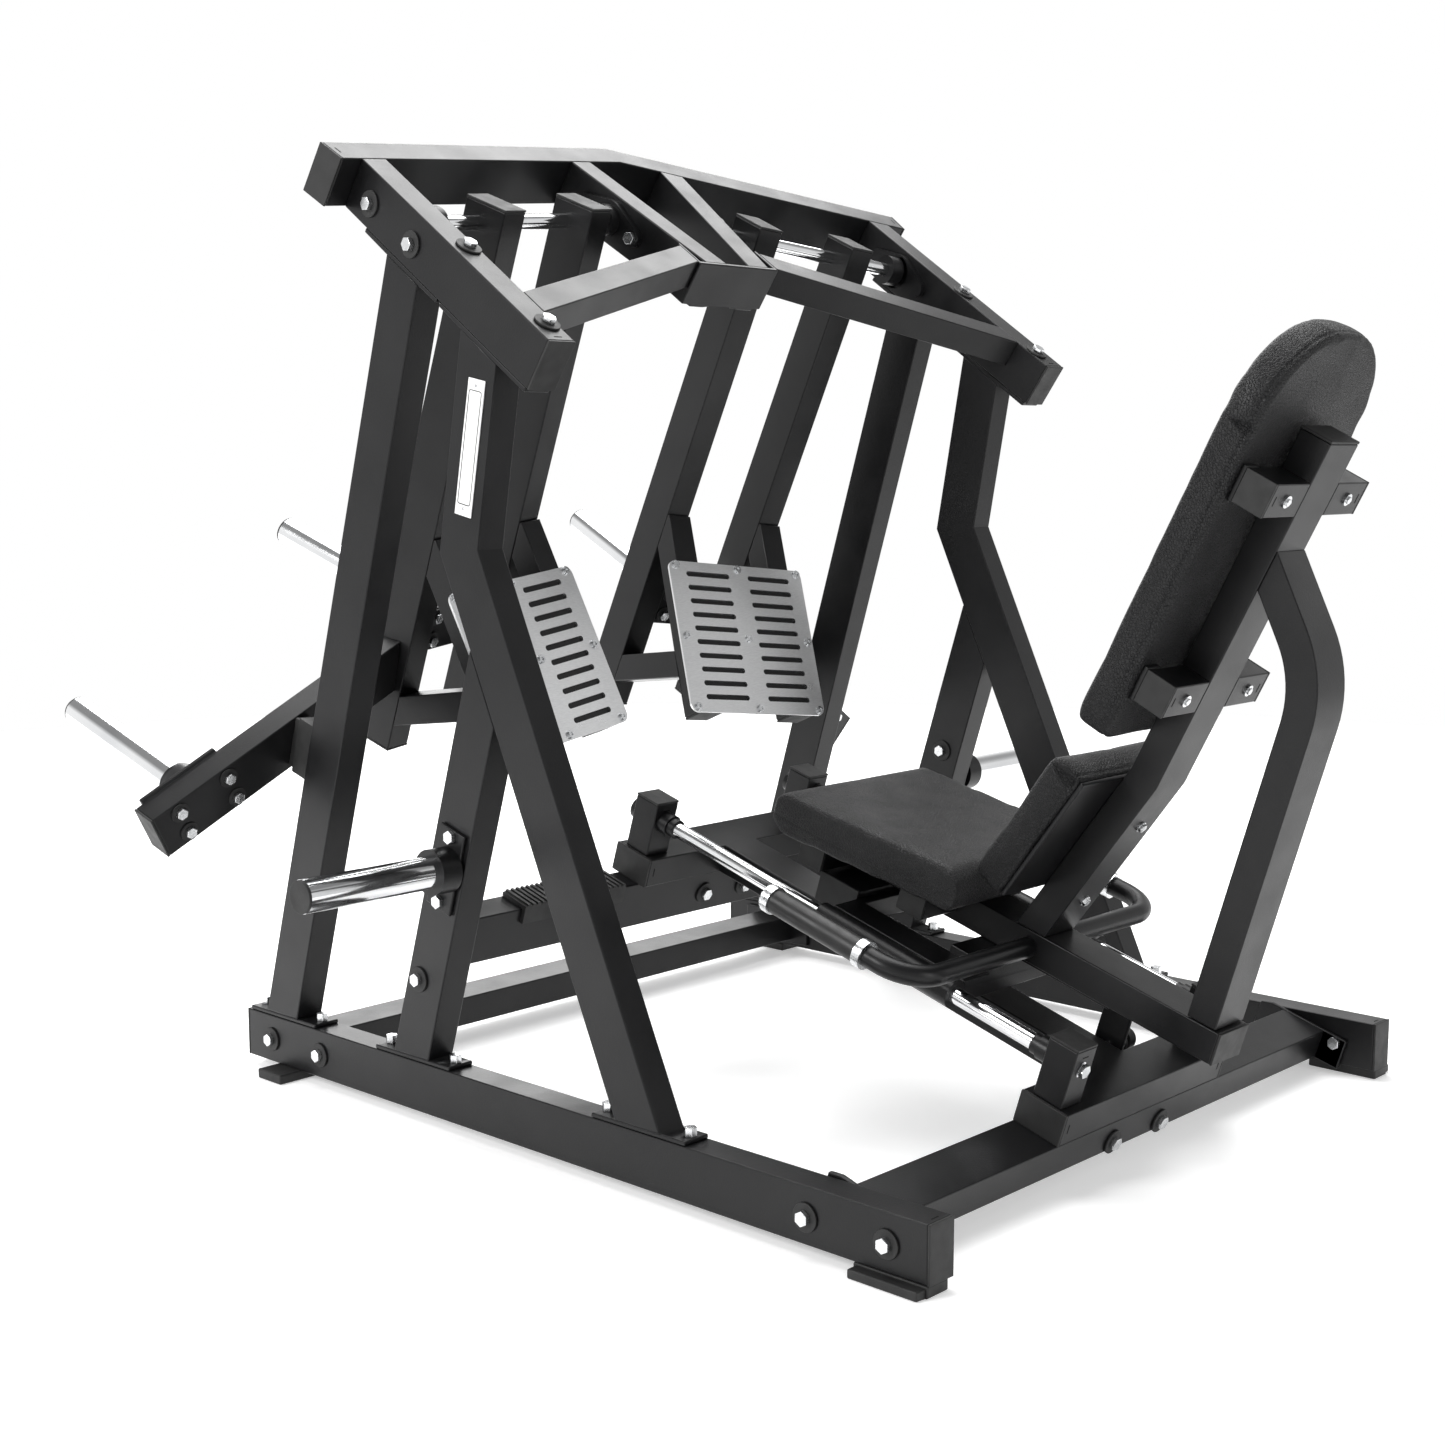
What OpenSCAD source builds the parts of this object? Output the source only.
// Plate-loaded leg press with two independent press arms and a sliding inclined seat.
// Millimetres. X is the width, -Y is the seat end, +Y is the weight end, Z is up.
// The floor is Z = 0 under the rubber feet, and the machine is symmetric about X = 0.

/* [Base frame] */
// Height of the two floor rails
rail_height = 80; // [70:1:100]
// Width of the main rectangular tube
tube_width = 50; // [40:1:60]
// Distance from the middle plane to the outer face of a rail
half_width = 632; // [600:1:660]
// Thickness of the rubber feet
foot_height = 16; // [10:1:30]
// Lean of the rear legs from the vertical, in degrees
rear_lean = 16.65; // [10:0.05:25]
// Lean of the middle legs from the vertical, in degrees
middle_lean = 17.2; // [10:0.05:25]

/* [Top frame] */
// Slope of the top frame, in degrees
top_slope = 34.6; // [30:0.1:40]
// Splay of each arm shaft from the width direction, in degrees
splay = 10.4; // [0:0.1:15]

/* [Press arms] */
// Lean of the hanging arm tubes from the top frame's normal, in degrees
arm_lean = 12; // [8:0.5:16]
// Tilt of the foot plates in the arm's own frame, in degrees
plate_tilt = 33.72; // [25:0.02:45]
// Diameter of the weight horns
horn_diameter = 50; // [48:0.5:52]
// Length of each weight horn beyond its frame tube
horn_length = 364; // [250:1:400]
// Diameter of the arm shafts
shaft_diameter = 25; // [20:1:40]
// Rows of slots in each foot plate
slot_rows = 10; // [6:1:12]

/* [Seat] */
// Incline of the seat rails, in degrees
incline = 17; // [10:0.5:30]
// Diameter of the two guide rods
rod_diameter = 25; // [20:1:30]
// Distance from the middle plane to a guide rod's axis
rod_offset = 192; // [150:1:220]
// Spacing of the seat's adjusting holes
hole_pitch = 40; // [30:1:60]
// Width of the seat pad
seat_width = 372; // [320:1:420]
// Width of the back pad
back_width = 300; // [260:1:340]

/* [Hidden] */
$fn = 48;

inner = half_width - tube_width;
foot_low = 8;
rail_low = foot_low + foot_height;
rail_top = rail_low + rail_height;
rail_front = -768;
rail_rear = 690;
black = [0.1, 0.1, 0.11];
steel = [0.8, 0.81, 0.82];
rubber = [0.06, 0.06, 0.06];
vinyl = [0.14, 0.14, 0.15];
base_plate = 7;
shaft_r = shaft_diameter / 2;
horn_r = horn_diameter / 2;
rod_r = rod_diameter / 2;
run = 0.3;
beam_low = 319.5;
beam_high = 369.5;
front_tube_s = -820;
rear_tube_s = 38;
carriage_low = 458.5;
carriage_high = 508.5;
pin_s = -748;
pin_n = 358;
centre_shift = [0, -11.12, -foot_low];
top_y = -92.9;
top_z = 1197.7;
pivot_y = 339.8;
pivot_z = 1445.1;
post_kink = [-712.3, 569.2];
post_up = [-0.4533, 0.8913];
post_out = [0.8913, 0.4533];
low_up = [-0.599, 0.8007];
low_out = [0.8007, 0.599];

// ---------- helpers ----------
function meet(p, d, q, e) =
  let (t = ((q[0] - p[0]) * e[1] - (q[1] - p[1]) * e[0]) / (d[0] * e[1] - d[1] * e[0])) p + t * d;
function lean_dir(a) = [-sin(a), cos(a)];
function fillet(p, a, b, r, steps) =
  let (half = acos((a * b)) / 2,
       mid = (a + b) / norm(a + b),
       c = p + mid * r / sin(half),
       s0 = p + a * r / tan(half) - c,
       s1 = p + b * r / tan(half) - c,
       a0 = atan2(s0[1], s0[0]),
       turn = atan2(s0[0] * s1[1] - s0[1] * s1[0], s0 * s1))
  [for (i = [0:steps]) c + r * [cos(a0 + turn * i / steps), sin(a0 + turn * i / steps)]];

module side_shape(x0, x1, pts) {
  translate([x0, 0, 0]) rotate([90, 0, 90]) linear_extrude(x1 - x0) polygon(pts);
}
module centred() {
  translate(centre_shift) children();
}
module both_sides() {
  children();
  mirror([1, 0, 0]) children();
}
module top_frame() {
  translate([0, top_y, top_z]) rotate([top_slope, 0, 0]) children();
}
module arm_frame() {
  translate([0, pivot_y, pivot_z]) rotate([top_slope, 0, 0]) rotate([0, 0, -splay]) children();
}
module hang_frame() {
  arm_frame() rotate([-arm_lean, 0, 0]) children();
}
module plate_frame() {
  arm_frame() translate([0, -250.8, -542.5]) rotate([plate_tilt, 0, 0]) children();
}
module outrigger_frame() {
  translate([864, 594, 468.7]) rotate([rear_lean, 0, 0]) rotate([0, 31.7, 0]) children();
}
module seat_frame() {
  translate([0, 236, 24]) rotate([incline, 0, 0]) children();
}
module block(x0, x1, y0, y1, z0, z1) {
  translate([x0, y0, z0]) cube([x1 - x0, y1 - y0, z1 - z0]);
}
module rod_x(x0, x1, y, z, r) {
  translate([x0, y, z]) rotate([0, 90, 0]) cylinder(h = x1 - x0, r = r);
}
module rod_y(y0, y1, x, z, r) {
  translate([x, y0, z]) rotate([-90, 0, 0]) cylinder(h = y1 - y0, r = r);
}
module hex_head(across, height) {
  cylinder(h = height, r = across / 2 / cos(30), $fn = 6);
}
module ring(r_out, r_in, height) {
  difference() {
    cylinder(h = height, r = r_out);
    translate([0, 0, -1]) cylinder(h = height + 2, r = r_in);
  }
}

// ---------- base ----------
module rails() {
  color(black) centred() both_sides()
    block(inner, half_width, rail_front + 4, rail_rear - 4, rail_low, rail_top);
}

module floor_beams() {
  color(black) centred() {
    block(-inner + 8, inner - 8, 512.5, 592.5, 39, 89);
    both_sides() block(inner - 8, inner, 470, 635, 32, 96);
    seat_frame() {
      block(-inner + 8, inner - 8, front_tube_s - 40, front_tube_s + 40, beam_low - 50, beam_low);
    }
    both_sides() intersection() {
      seat_frame() block(inner - 8, inner, front_tube_s - 82, front_tube_s + 82, 268, 321);
      block(inner - 8, inner, -900, -400, 0, rail_top + 5);
    }
  }
}

module raised_beam() {
  color(black) centred() seat_frame() {
    block(-inner + 8, inner - 8, 13, 63, 239, beam_low);
    both_sides() block(inner - 8, inner, 13, 63, 200, 360);
  }
}

// ---------- legs ----------
under_point = [top_y, top_z] + 81 * [sin(top_slope), -cos(top_slope)];
under_dir = [cos(top_slope), sin(top_slope)];
under_gap = [sin(top_slope), -cos(top_slope)] * 7.5;
leg_floor = rail_top + base_plate;

module foot_flange(y0, y1) {
  block(inner + 1, half_width - 1, y0, y1, rail_top, leg_floor);
}
module rear_legs() {
  d = lean_dir(rear_lean);
  rear = [632.8, leg_floor];
  front = [548.2, leg_floor];
  color(black) centred() both_sides() {
    side_shape(inner, half_width, [front, rear,
      meet(rear, d, under_point + under_gap, under_dir),
      meet(front, d, under_point + under_gap, under_dir)]);
    foot_flange(500, 681);
    top_frame() block(inner + 1, half_width - 1, 240, 440, -89, -81);
  }
}
front_low = [-298.5, leg_floor];
front_bend = [68.1, 904.5];
back_low = [-209.6, leg_floor];
back_bend = [155, 899.2];
module front_legs() {
  up = [-0.1733, 0.9849];
  color(black) centred() both_sides() {
    side_shape(inner, half_width, [front_low, back_low, back_bend,
      meet(back_bend, up, under_point + under_gap, under_dir),
      meet(front_bend, up, under_point + under_gap, under_dir), front_bend]);
    foot_flange(-347, -161);
    top_frame() block(inner + 1, half_width - 1, 8, 232, -89, -81);
  }
}
module middle_legs() {
  d = lean_dir(middle_lean);
  rear = [289.7, leg_floor];
  front = [204.9, leg_floor];
  color(black) centred() both_sides() {
    side_shape(inner, half_width, [front, rear,
      meet(rear, d, back_low, back_bend - back_low),
      meet(front, d, back_low, back_bend - back_low)]);
    foot_flange(156, 338);
  }
}

// ---------- top frame ----------
slant = tan(splay);
module side_beams() {
  color(black) centred() top_frame() both_sides()
    translate([0, 0, -81]) linear_extrude(81)
      polygon([[inner, 4], [half_width, 4], [half_width, 616.4 - slant * half_width],
        [inner, 616.4 - slant * inner]]);
}
module rear_header() {
  color(black) centred() top_frame() translate([0, 0, -81]) linear_extrude(81)
    polygon([[0, 616.4], [672, 616.4 - slant * 672], [681, 665.3 - slant * 681],
      [12, 663.1], [0, 664.2], [-12, 663.1],
      [-681, 665.3 - slant * 681], [-672, 616.4 - slant * 672]]);
}
module pivot_carrier() {
  color(black) centred() {
    difference() {
      both_sides() arm_frame() block(66, 115, -215, 117.5, -39, 42);
      top_frame() block(-200, 200, 200, 270, -100, 20);
    }
    top_frame() {
      block(-96, 96, 270, 278, -77, 0);
      both_sides() block(90, 96, 278, 332, -77, 0);
    }
  }
}
module front_braces() {
  color(black) centred() top_frame() both_sides()
    translate([0, 0, -50]) linear_extrude(50)
      polygon([[96, 275.5], [inner, 80], [inner, 134], [96, 327.2]]);
}
module flange_plate() {
  hull() {
    cylinder(h = 12, r = 34, $fn = 36);
    translate([0, 58, 0]) cylinder(h = 12, r = 15, $fn = 24);
    translate([0, -58, 0]) cylinder(h = 12, r = 15, $fn = 24);
  }
}
module pivot_bearings() {
  side_y = 389.7;
  color(black) centred() both_sides() {
    arm_frame() difference() {
      union() {
        translate([115, 0, 0]) rotate([0, 90, 0]) flange_plate();
        rod_x(116, 146, 0, 0, 27);
      }
      rod_x(110, 150, 0, 0, shaft_r + run);
    }
    difference() {
      union() {
        top_frame() translate([inner - 12, side_y, -42]) rotate([0, 90, 0]) flange_plate();
        arm_frame() rod_x(552, 580, 0, 0, 27);
      }
      arm_frame() rod_x(540, 590, 0, 0, shaft_r + run);
      arm_frame() rod_x(579, 620, 0, 0, 31);
    }
  }
}

// ---------- feet, caps and fasteners ----------
module rubber_feet() {
  color(rubber) centred() both_sides() {
    block(590, 632.5, -766, -646, foot_low, rail_low);
    block(632.5, 650, -762, -650, foot_low, rail_low - 3);
    block(583, 672, 543, 606, foot_low, rail_low);
  }
}
module frame_caps() {
  color(rubber) centred() {
    both_sides() {
      block(inner, half_width, rail_front, rail_front + 4, rail_low, rail_top);
      block(inner, half_width, rail_rear - 4, rail_rear, rail_low, rail_top);
      top_frame() {
        block(inner, half_width, 0, 4, -81, 0);
        translate([0, 616.4, 0]) rotate([0, 0, -splay]) block(683.6, 687.6, 0, 48, -81, 0);
      }
      seat_frame() {
        for (s = [front_tube_s, rear_tube_s])
          block(219, 223, s - 40, s + 40, beam_low, beam_high);
        for (s = [front_tube_s, rear_tube_s])
          block(167, 217, s - 25, s + 25, 461, 465);
      }
      rod_x(half_width + horn_length - 93, half_width + horn_length - 89, 140.4, 423.3, horn_r - 0.5);
    }
  }
}
module frame_bolts() {
  color(steel) centred() both_sides() {
    for (p = [[620, 63], [485.5, 63], [-566.7, 62], [-700.4, 62], [221.9, 237.8]])
      translate([half_width + 3.5, p[0], p[1]]) rotate([0, 90, 0]) hex_head(19, 8);
    for (p = [[130.7, 473.6], [162.3, 370.3]])
      translate([half_width + 6.5, p[0], p[1]]) rotate([0, 90, 0]) hex_head(19, 8);
    translate([inner - 3.5, 134, 473.6]) rotate([0, -90, 0]) hex_head(19, 8);
    for (y = [-335, -173, 168, 326, 512, 669])
      translate([607, y, leg_floor]) hex_head(17, 13);
    for (y = [-566.7, -700.4])
      translate([inner - 8, y, 62]) rotate([0, -90, 0]) hex_head(19, 9);
    top_frame() for (s = [48, 251])
      translate([601, s, 3.5]) hex_head(19, 8);
    top_frame() for (s = [331.7, 447.7])
      translate([half_width + 3.5, s, -46]) rotate([0, 90, 0]) hex_head(19, 8);
    arm_frame() for (v = [-58, 58])
      translate([127, v, 0]) rotate([0, 90, 0]) hex_head(19, 8);
    seat_frame() {
      translate([rod_offset, front_tube_s - 25, 429]) rotate([90, 0, 0]) hex_head(19, 8);
      translate([50, 9.5, 274]) rotate([90, 0, 0]) hex_head(19, 8);
      translate([65, front_tube_s - 43.5, 285]) rotate([90, 0, 0]) hex_head(19, 8);
    }
  }
}
module frame_washers() {
  color(rubber) centred() both_sides() {
    for (p = [[620, 63], [485.5, 63], [-566.7, 62], [-700.4, 62], [221.9, 237.8]])
      translate([half_width, p[0], p[1]]) rotate([0, 90, 0]) cylinder(h = 3.5, r = 20);
    translate([inner, 134, 473.6]) rotate([0, -90, 0]) cylinder(h = 3.5, r = 20);
    seat_frame() for (p = [[50, 13, 274], [65, front_tube_s - 40, 285]])
      translate(p) rotate([90, 0, 0]) cylinder(h = 3.5, r = 19);
    top_frame() for (s = [48, 251])
      translate([601, s, 0]) cylinder(h = 3.5, r = 20);
    top_frame() for (s = [331.7, 447.7])
      translate([half_width, s, -46]) rotate([0, 90, 0]) cylinder(h = 3.5, r = 20);
  }
}

// ---------- weight storage ----------
module storage_mounts() {
  color(black) centred() both_sides() {
    translate([half_width, 147.7, 421.7]) rotate([middle_lean, 0, 0])
      block(0, 6.5, -28, 28, -66, 66);
    rod_x(half_width + 6.5, half_width + 42, 140.4, 423.3, 35);
  }
}
module storage_horns() {
  color(steel) centred() both_sides()
    rod_x(half_width + 42, half_width + horn_length - 93, 140.4, 423.3, horn_r);
}
module name_plate() {
  color([0.85, 0.86, 0.87]) centred()
    side_shape(-half_width - 2, -half_width, [[43, 1146], [80, 950], [116, 957], [79, 1153]]);
}
module stop_bumpers() {
  color(rubber) centred() both_sides()
    translate([0, 632.8, 111]) rotate([rear_lean, 0, 0]) {
      block(586, 620, 0, 50, 418, 512);
      block(589, 617, 50, 64, 423, 507);
    }
}
module ribbed_pad() {
  color(rubber) centred() seat_frame() both_sides() {
    block(258, 478, 6, 63, beam_low, beam_low + 7);
    block(258, 478, 6, 13, 296, beam_low);
    for (i = [0:20])
      block(260 + i * 10.4, 265 + i * 10.4, 6, 63, beam_low + 7, beam_low + 10);
  }
}

// ---------- seat rails ----------
module seat_rail_frame() {
  color(black) centred() seat_frame() difference() {
    union() {
      for (s = [front_tube_s, rear_tube_s])
        block(-219, 219, s - 40, s + 40, beam_low, beam_high);
      block(-40, 40, front_tube_s, rear_tube_s, beam_low, beam_high);
    }
    for (i = [0:6])
      rod_x(20, 41, pin_s + i * hole_pitch, pin_n, 6.5);
  }
}
module rod_posts() {
  color(black) centred() seat_frame() both_sides()
    for (s = [front_tube_s, rear_tube_s])
      difference() {
        block(167, 217, s - 25, s + 25, beam_high, 461);
        rod_y(s - 30, s + 30, rod_offset, 429, rod_r);
      }
}
module guide_rods() {
  color(steel) centred() seat_frame() both_sides()
    rod_y(front_tube_s - 24, rear_tube_s + 26, rod_offset, 429, rod_r);
}
module rod_collars() {
  color(black) centred() seat_frame() both_sides() {
    for (s = [front_tube_s + 25, rear_tube_s - 45])
      translate([rod_offset, s, 429]) rotate([-90, 0, 0]) ring(19, rod_r, 20);
    translate([rod_offset, rear_tube_s - 57, 429]) rotate([-90, 0, 0]) ring(16, rod_r, 12);
    translate([rod_offset, front_tube_s + 45, 429]) rotate([-90, 0, 0]) ring(16, rod_r, 12);
    rod_y(rear_tube_s + 26, rear_tube_s + 38, rod_offset, 429, 19);
  }
}

// ---------- press arm, right side; the left one is its mirror image ----------
module arm_tubes() {
  color(black) centred() hang_frame() difference() {
    union() {
      for (a = [194, 414])
        block(a, a + 50, -55, 26, -910, 34);
      block(244, 414, -26, 23, -750, -669);
    }
    rod_x(180, 480, 0, 0, shaft_r);
  }
}
module foot_frame() {
  color(black) centred() difference() {
    union() {
      plate_frame() for (a = [194, 414])
        block(a, a + 50, -279, 101, -54, -4);
      plate_frame() block(180, 480, -273, -2, -6, -4);
      arm_frame() translate([0, -221.6, -778.2]) rotate([-41.07, 0, 0]) for (a = [194, 414])
        block(a, a + 50, -184, 80, -50, 0);
    }
    hang_frame() block(150, 520, -55, 300, -1100, 200);
    plate_frame() block(150, 520, -283, 150, -4, 60);
  }
}
module slot_hole(a, t) {
  block(a - 46, a + 46, -t - 5, -t + 5, -6, 2);
  for (side = [-46, 46])
    translate([a + side, -t, -6]) cylinder(h = 8, r = 5, $fn = 24);
}
module foot_plate() {
  color(steel) centred() plate_frame() difference() {
    union() {
      block(186, 474, -283, 8, -4, 0);
      block(170, 490, -267, -8, -4, 0);
      for (a = [186, 474], t = [8, 267])
        translate([a, -t, -4]) cylinder(h = 4, r = 16);
    }
    for (i = [0:slot_rows - 1], a = [259, 406])
      slot_hole(a, 16 + i * 26.4);
  }
}
module plate_screws() {
  color(steel) centred() plate_frame() for (a = [186, 332, 478], t = [0, 137, 273])
    translate([a, -t, 0]) {
      cylinder(h = 2.5, r = 8, $fn = 32);
      translate([0, 0, 2.5]) ring(6.5, 3, 2);
    }
}
module horn_collar() {
  cylinder(h = 34, r = 35);
}
module outrigger() {
  color(black) centred() {
    difference() {
      outrigger_frame() block(-600, -4, 0, 50, -80, 0);
      hang_frame() block(0, 464, -400, 400, -1200, 0);
    }
    outrigger_frame() {
      block(-162, -16, 50, 58, -79, 5);
      translate([-97, 58, -40.5]) rotate([-90, 0, 0]) horn_collar();
    }
    hang_frame() {
      block(254, 404, 23, 31, -749, -670);
      translate([329, 31, -709]) rotate([-90, 0, 0]) horn_collar();
    }
  }
}
module horns() {
  color(steel) centred() {
    outrigger_frame() rod_y(92, 50 + horn_length - 4, -97, -40.5, horn_r);
    hang_frame() rod_y(65, 23 + horn_length - 4, 329, -709, horn_r);
  }
}
module arm_caps() {
  color(rubber) centred() {
    outrigger_frame() {
      block(-4, 0, 0, 50, -80, 0);
      rod_y(50 + horn_length - 4, 50 + horn_length, -97, -40.5, horn_r - 0.5);
      for (x = [-144.8, -49.2], z = [-61.5, -19.5])
        rod_y(-2.5, 0, x, z, 16);
    }
    hang_frame() {
      rod_y(23 + horn_length - 4, 23 + horn_length, 329, -709, horn_r - 0.5);
      for (a = [282.4, 375.6], z = [-731.3, -686.7])
        rod_y(-28.5, -26, a, z, 16);
      for (a = [194, 414]) {
        block(a, a + 50, -55, 26, 34, 38);
        block(a, a + 50, -55, 26, -914, -910);
      }
    }
    plate_frame() for (a = [194, 414])
      block(a, a + 50, -283, -279, -54, -4);
  }
}
module arm_shaft() {
  color(steel) centred() arm_frame() rod_x(118, 574, 0, 0, shaft_r);
}
module arm_bolts() {
  color(steel) centred() {
    outrigger_frame() for (x = [-144.8, -49.2], z = [-61.5, -19.5])
      translate([x, -2.5, z]) rotate([90, 0, 0]) hex_head(17, 7);
    hang_frame() for (a = [282.4, 375.6], z = [-731.3, -686.7])
      translate([a, -28.5, z]) rotate([90, 0, 0]) hex_head(17, 7);
  }
}
module left() {
  mirror([1, 0, 0]) children();
}
module arm_tubes_r() { arm_tubes(); }
module foot_frame_r() { foot_frame(); }
module foot_plate_r() { foot_plate(); }
module plate_screws_r() { plate_screws(); }
module outrigger_r() { outrigger(); }
module horns_r() { horns(); }
module arm_caps_r() { arm_caps(); }
module arm_shaft_r() { arm_shaft(); }
module arm_bolts_r() { arm_bolts(); }
module arm_tubes_l() { left() arm_tubes(); }
module foot_frame_l() { left() foot_frame(); }
module foot_plate_l() { left() foot_plate(); }
module plate_screws_l() { left() plate_screws(); }
module outrigger_l() { left() outrigger(); }
module horns_l() { left() horns(); }
module arm_caps_l() { left() arm_caps(); }
module arm_shaft_l() { left() arm_shaft(); }
module arm_bolts_l() { left() arm_bolts(); }

// ---------- carriage ----------
module carriage_beam() {
  color(black) centred() seat_frame() block(-40, 40, -953.5, -247, carriage_low, carriage_high);
}
module carriage_base() {
  color(black) centred() seat_frame() {
    block(-113, 113, -348, -268, 408.5, carriage_low);
    difference() {
      block(-172, 172, -612, -348, 408.5, 446);
      block(-113, 113, -535, -363, 400, 450);
      both_sides() rod_y(-620, -340, rod_offset, 429, 22);
    }
    block(-113, 113, -612, -535, 445, carriage_low);
    difference() {
      block(52, 60, pin_s - 25, pin_s + 25, 328, carriage_low);
      rod_x(50, 62, pin_s, pin_n, 6.5);
    }
    block(-30, 53, pin_s - 25, pin_s + 25, carriage_low - 8, carriage_low);
    block(-30, 30, pin_s - 25, -600, carriage_low - 8, carriage_low);
  }
}
module rod_sleeves() {
  color(black) centred() seat_frame() both_sides()
    translate([rod_offset, -612, 429]) rotate([-90, 0, 0]) {
      difference() {
        cylinder(h = 268, r = 22);
        translate([0, 0, -1]) cylinder(h = 270, r = rod_r + run);
      }
    }
}
handle_n = 481.5;
handle_s = -621;
handle_x = 326;
bend_r = 62;
module handles() {
  color(black) centred() seat_frame() both_sides() {
    rod_x(40, handle_x - bend_r, handle_s, handle_n, 16);
    rod_y(handle_s + bend_r, -340, handle_x, handle_n, 16);
    translate([handle_x - bend_r, handle_s + bend_r, handle_n])
      rotate([0, 0, -90]) rotate_extrude(angle = 90) translate([bend_r, 0]) circle(r = 16);
  }
}
module grips() {
  color(rubber) centred() seat_frame() both_sides()
    translate([handle_x, -523, handle_n]) rotate([-90, 0, 0]) ring(19, 16, 170);
}
module grip_rings() {
  color(steel) centred() seat_frame() both_sides() {
    translate([handle_x, -537, handle_n]) rotate([-90, 0, 0]) ring(22, 16, 14);
    translate([handle_x, -353, handle_n]) rotate([-90, 0, 0]) ring(22, 16, 13);
    rod_y(-340, -337, handle_x, handle_n, 20);
  }
}
module below_beam() {
  seat_frame() block(-200, 200, -1500, 300, -200, carriage_high);
}
module back_post() {
  front_kink = post_kink + (post_out + low_out) * 50 / (1 + post_out * low_out);
  color(black) centred() difference() {
    side_shape(-40, 40, [post_kink - low_up * 330, post_kink, post_kink + post_up * 546,
      post_kink + post_up * 546 + post_out * 50, front_kink,
      post_kink - low_up * 330 + low_out * 50]);
    below_beam();
  }
}
strut_a = [-887.5, 913.4];
strut_c = [-967.5, 740.6];
strut_e = [-818.3, 235];
module back_strut() {
  a = (strut_a - strut_c) / norm(strut_a - strut_c);
  b = (strut_e - strut_c) / norm(strut_e - strut_c);
  half = acos(a * b) / 2;
  inset = (a + b) / norm(a + b) * 48 / sin(half);
  outer = fillet(strut_c, a, b, 200, 10);
  inside = fillet(strut_c + inset, b, a, 152, 10);
  far = [a[1], -a[0]] * 48;
  low = [-b[1], b[0]] * 48;
  color(black) centred() difference() {
    side_shape(-40, 40, concat([strut_a + a * 60], outer, [strut_e], [strut_e + low],
      inside, [strut_a + a * 60 + far]));
    below_beam();
    side_shape(-41, 41, [post_kink, post_kink + post_up * 700,
      post_kink + post_up * 700 + post_out * 300, post_kink + post_out * 300]);
  }
}
module post_frame() {
  translate([0, post_kink[0], post_kink[1]]) rotate([26.96, 0, 0]) children();
}
module low_frame() {
  translate([0, post_kink[0], post_kink[1]]) rotate([36.8, 0, 0]) children();
}
function pad_under(s) = 510 - 0.0684 * (s + 210);
module pad_tubes() {
  color(black) centred() {
    post_frame() both_sides() for (u = [129, 438]) {
      block(40, 128, 0.1, 49, u, u + 50);
      block(100, 132, 49, 57, u - 2, u + 52);
    }
    seat_frame() both_sides() for (s = [-276, -482])
      side_shape(40, 128, [[s, pad_under(s + 50) - 50], [s + 50, pad_under(s + 50) - 50],
        [s + 50, pad_under(s + 50)], [s, pad_under(s)]]);
    low_frame() block(-143, 143, 50, 57, -247, -24);
  }
}
module pad_screws() {
  color(steel) centred() {
    post_frame() both_sides() for (u = [154, 463])
      translate([86, 0.1, u]) rotate([90, 0, 0]) {
        cylinder(h = 3, r = 9);
        translate([0, 0, 3]) hex_head(10, 3);
      }
    low_frame() for (u = [-236, -81])
      translate([0, 0, u]) rotate([90, 0, 0]) {
        cylinder(h = 2.5, r = 9);
        translate([0, 0, 2.5]) hex_head(13, 5);
      }
  }
}
module carriage_caps() {
  color(rubber) centred() {
    seat_frame() {
      block(-40, 40, -957.5, -953.5, carriage_low, carriage_high);
      block(-40, 40, -247, -243, carriage_low, carriage_high);
      both_sides() block(113, 117, -348, -268, 408.5, carriage_low);
      both_sides() for (s = [-276, -482])
        side_shape(128, 132, [[s, pad_under(s + 50) - 50], [s + 50, pad_under(s + 50) - 50],
          [s + 50, pad_under(s + 50)], [s, pad_under(s)]]);
    }
    post_frame() {
      block(-40, 40, 0, 50, 546, 550);
      both_sides() for (u = [129, 438])
        block(128, 132, 0.1, 49, u, u + 50);
    }
  }
}
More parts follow.
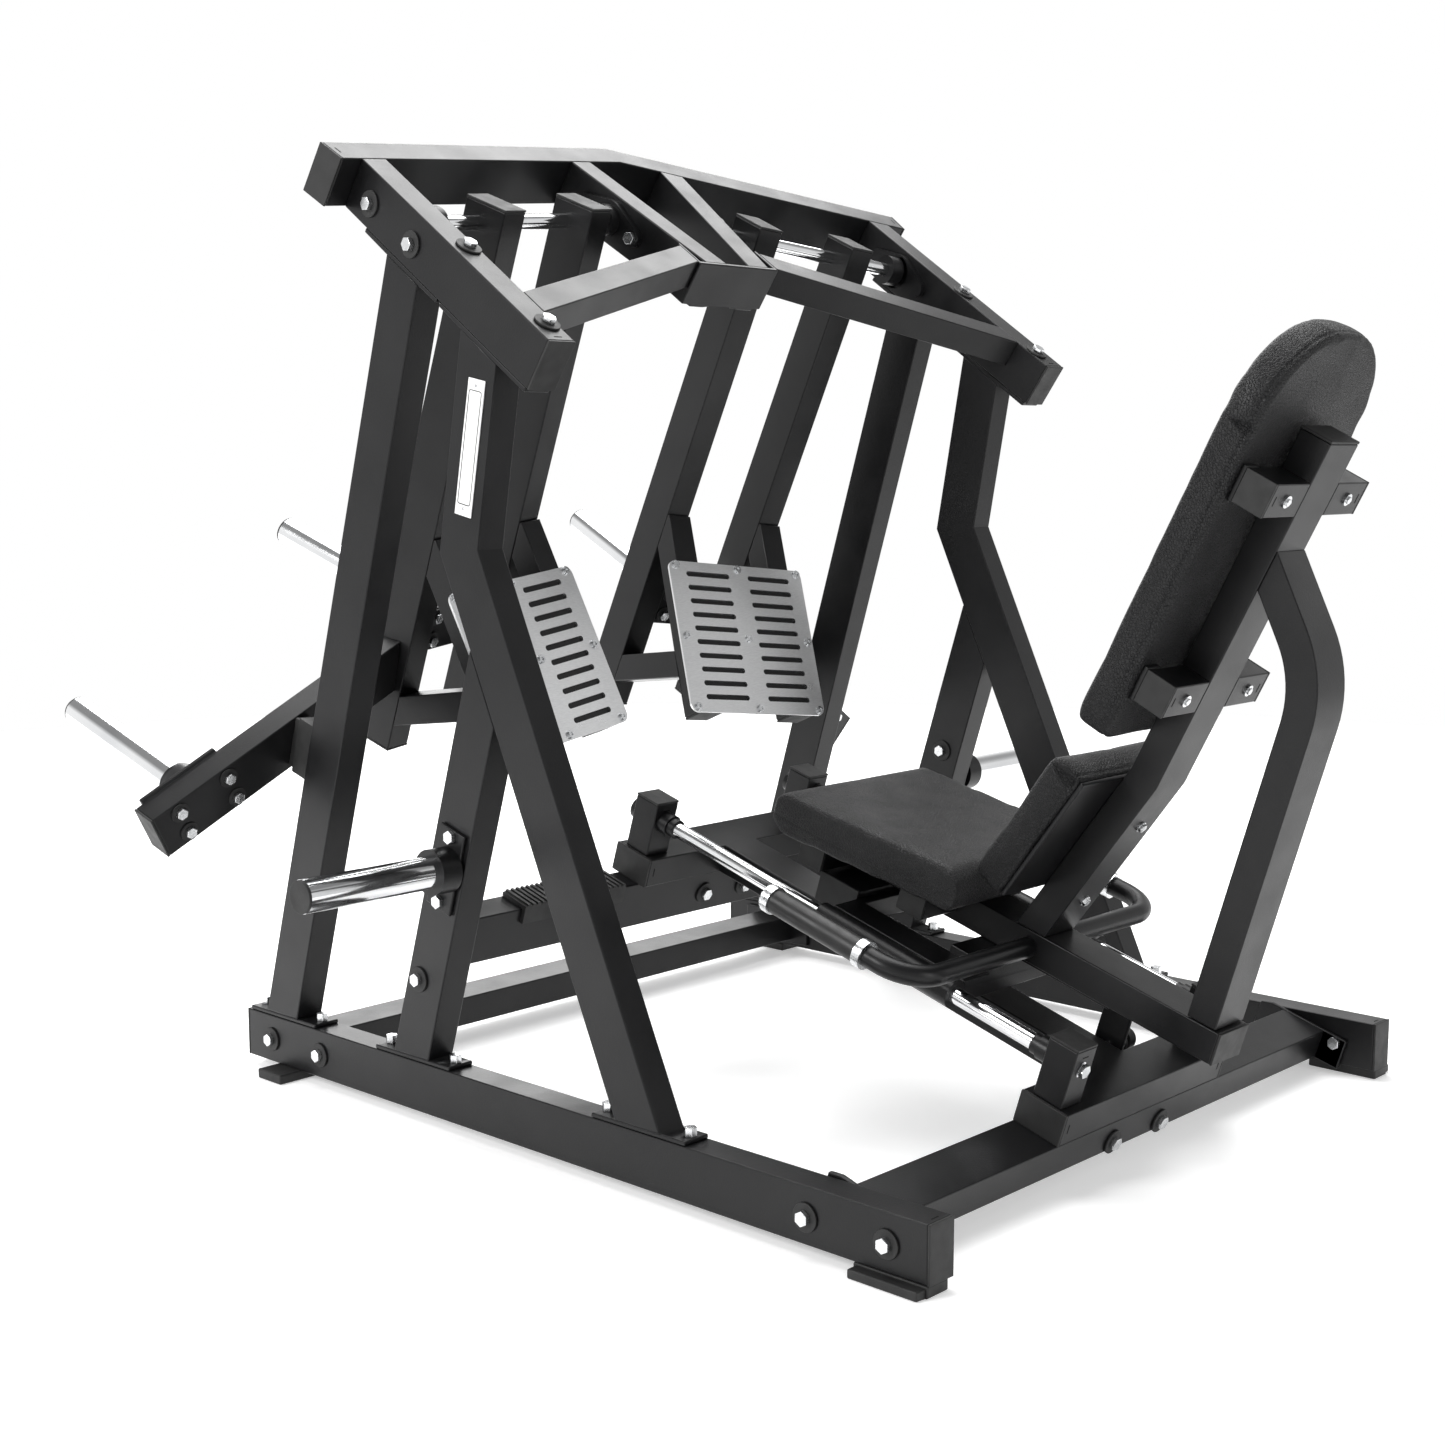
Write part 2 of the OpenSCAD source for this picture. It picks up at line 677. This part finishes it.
module seat_pad() {
  w = seat_width / 2;
  color(vinyl) centred() seat_frame() {
    side_shape(-w, w, [[-218, 511], [-192, 530], [-190, 562], [-204, 577.5],
      [-547, 599.5], [-562, 586], [-566, 545], [-556, 534]]);
  }
}
module lumbar_pad() {
  w = back_width / 2;
  color(vinyl) centred() low_frame()
    side_shape(-w, w, [[57, -254], [104, -254], [114, -244], [114, -28], [104, -17], [57, -17]]);
}
module back_pad() {
  w = back_width / 2;
  r = 134;
  color(vinyl) centred() post_frame() translate([0, 113, 0]) rotate([90, 0, 0]) linear_extrude(56)
    polygon(concat([[w, 80], [w, 682 - r]],
      fillet([w, 682], [0, -1], [-1, 0], r, 8),
      fillet([-w, 682], [1, 0], [0, -1], r, 8),
      fillet([-w, 54], [0, 1], [1, 0], 25, 4),
      fillet([w, 54], [-1, 0], [0, 1], 25, 4)));
}
module pin_shaft() {
  color(steel) centred() seat_frame() {
    rod_x(26, 72, pin_s, pin_n, 6);
    rod_x(60.5, 72, pin_s, pin_n, 10);
  }
}
module pin_knob() {
  color(rubber) centred() seat_frame() {
    rod_x(72, 78, pin_s, pin_n, 21);
    rod_x(78, 92, pin_s, pin_n, 10);
    rod_x(92, 108, pin_s, pin_n, 17);
  }
}

rails();
floor_beams();
raised_beam();
front_legs();
middle_legs();
rear_legs();
side_beams();
rear_header();
pivot_carrier();
front_braces();
pivot_bearings();
rubber_feet();
frame_caps();
frame_bolts();
frame_washers();
storage_mounts();
storage_horns();
name_plate();
stop_bumpers();
ribbed_pad();
seat_rail_frame();
rod_posts();
guide_rods();
rod_collars();
arm_tubes_r();
foot_frame_r();
foot_plate_r();
plate_screws_r();
outrigger_r();
horns_r();
arm_caps_r();
arm_shaft_r();
arm_bolts_r();
arm_tubes_l();
foot_frame_l();
foot_plate_l();
plate_screws_l();
outrigger_l();
horns_l();
arm_caps_l();
arm_shaft_l();
arm_bolts_l();
carriage_beam();
carriage_base();
rod_sleeves();
handles();
grips();
grip_rings();
back_post();
back_strut();
pad_tubes();
pad_screws();
carriage_caps();
seat_pad();
lumbar_pad();
back_pad();
pin_shaft();
pin_knob();
